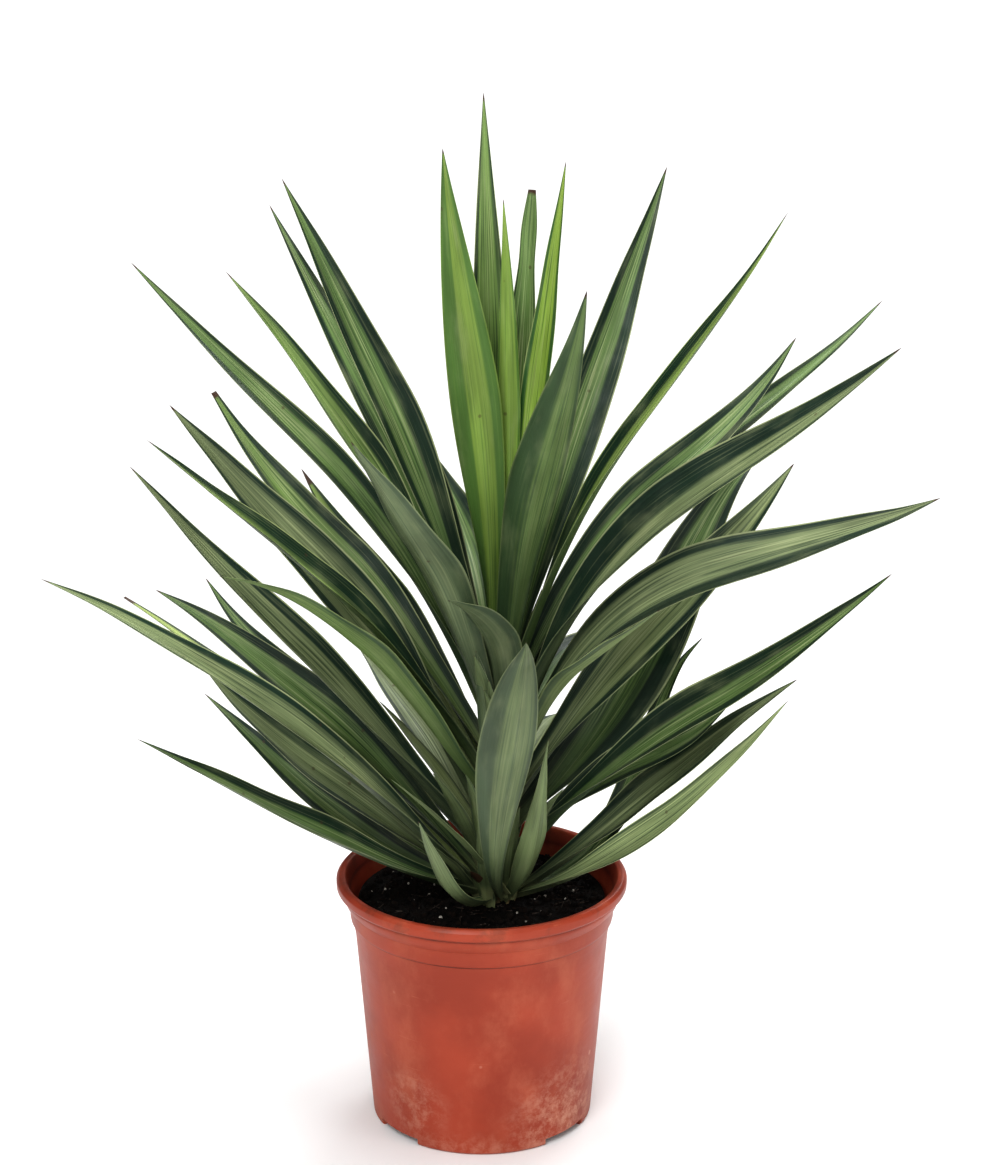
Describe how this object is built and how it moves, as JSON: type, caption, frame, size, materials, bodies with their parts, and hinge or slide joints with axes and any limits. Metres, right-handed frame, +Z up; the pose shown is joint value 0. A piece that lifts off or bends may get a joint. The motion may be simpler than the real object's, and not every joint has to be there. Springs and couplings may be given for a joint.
{
  "type": "potted yucca",
  "caption": "Potted yucca with a rosette of long pointed variegated leaves on a short stem, in a round terracotta-coloured plastic nursery pot filled with dark soil.",
  "frame": {"origin": "centre of the flat pad in the middle of the pot's underside, on the surface that the pot stands on", "axes": "+Z up along the pot's axis, +X to the right as seen from the front, -Y towards the viewer"},
  "size_m": [0.532, 0.38, 0.675],
  "materials": {
    "pot": "satin injection-moulded plastic with scuffs and lime stains",
    "soil": "dark damp peat with a few pale grains",
    "stem": "pale green fibrous leaf bases",
    "heart_leaf": "satin leaf, bright yellow-green band",
    "green_leaf": "satin leaf, olive band between dark green margins",
    "grey_leaf": "dull grey-green leaf, pale underside"
  },
  "bodies": {
    "root": {"pot": "pot", "soil": "soil", "stem": "stem", "heart_leaf_1": "heart_leaf", "heart_leaf_2": "heart_leaf", "heart_leaf_3": "heart_leaf", "heart_leaf_4": "green_leaf", "heart_leaf_5": "green_leaf", "crown_leaf_1": "green_leaf", "crown_leaf_2": "green_leaf", "crown_leaf_3": "green_leaf", "crown_leaf_4": "green_leaf", "crown_leaf_5": "green_leaf", "crown_leaf_6": "green_leaf", "crown_leaf_7": "green_leaf", "crown_leaf_8": "grey_leaf", "crown_leaf_9": "green_leaf", "crown_leaf_10": "green_leaf", "crown_leaf_11": "green_leaf", "crown_leaf_12": "green_leaf", "middle_leaf_1": "green_leaf", "middle_leaf_2": "green_leaf", "middle_leaf_3": "green_leaf", "middle_leaf_4": "grey_leaf", "middle_leaf_5": "grey_leaf", "middle_leaf_6": "green_leaf", "middle_leaf_7": "green_leaf", "middle_leaf_8": "green_leaf", "middle_leaf_9": "grey_leaf", "middle_leaf_10": "green_leaf", "middle_leaf_11": "grey_leaf", "middle_leaf_12": "green_leaf", "middle_leaf_13": "green_leaf", "skirt_leaf_1": "grey_leaf", "skirt_leaf_2": "grey_leaf", "skirt_leaf_3": "green_leaf", "skirt_leaf_4": "green_leaf", "skirt_leaf_5": "green_leaf", "skirt_leaf_6": "grey_leaf", "skirt_leaf_7": "green_leaf", "skirt_leaf_8": "green_leaf", "skirt_leaf_9": "grey_leaf", "skirt_leaf_10": "grey_leaf", "front_leaf_1": "grey_leaf", "front_leaf_2": "grey_leaf", "front_leaf_3": "heart_leaf", "front_leaf_4": "grey_leaf", "front_leaf_5": "grey_leaf", "front_leaf_6": "heart_leaf", "back_leaf_1": "green_leaf", "back_leaf_2": "green_leaf", "back_leaf_3": "green_leaf", "back_leaf_4": "grey_leaf", "back_leaf_5": "grey_leaf", "back_leaf_6": "grey_leaf"}
  },
  "joints": []
}
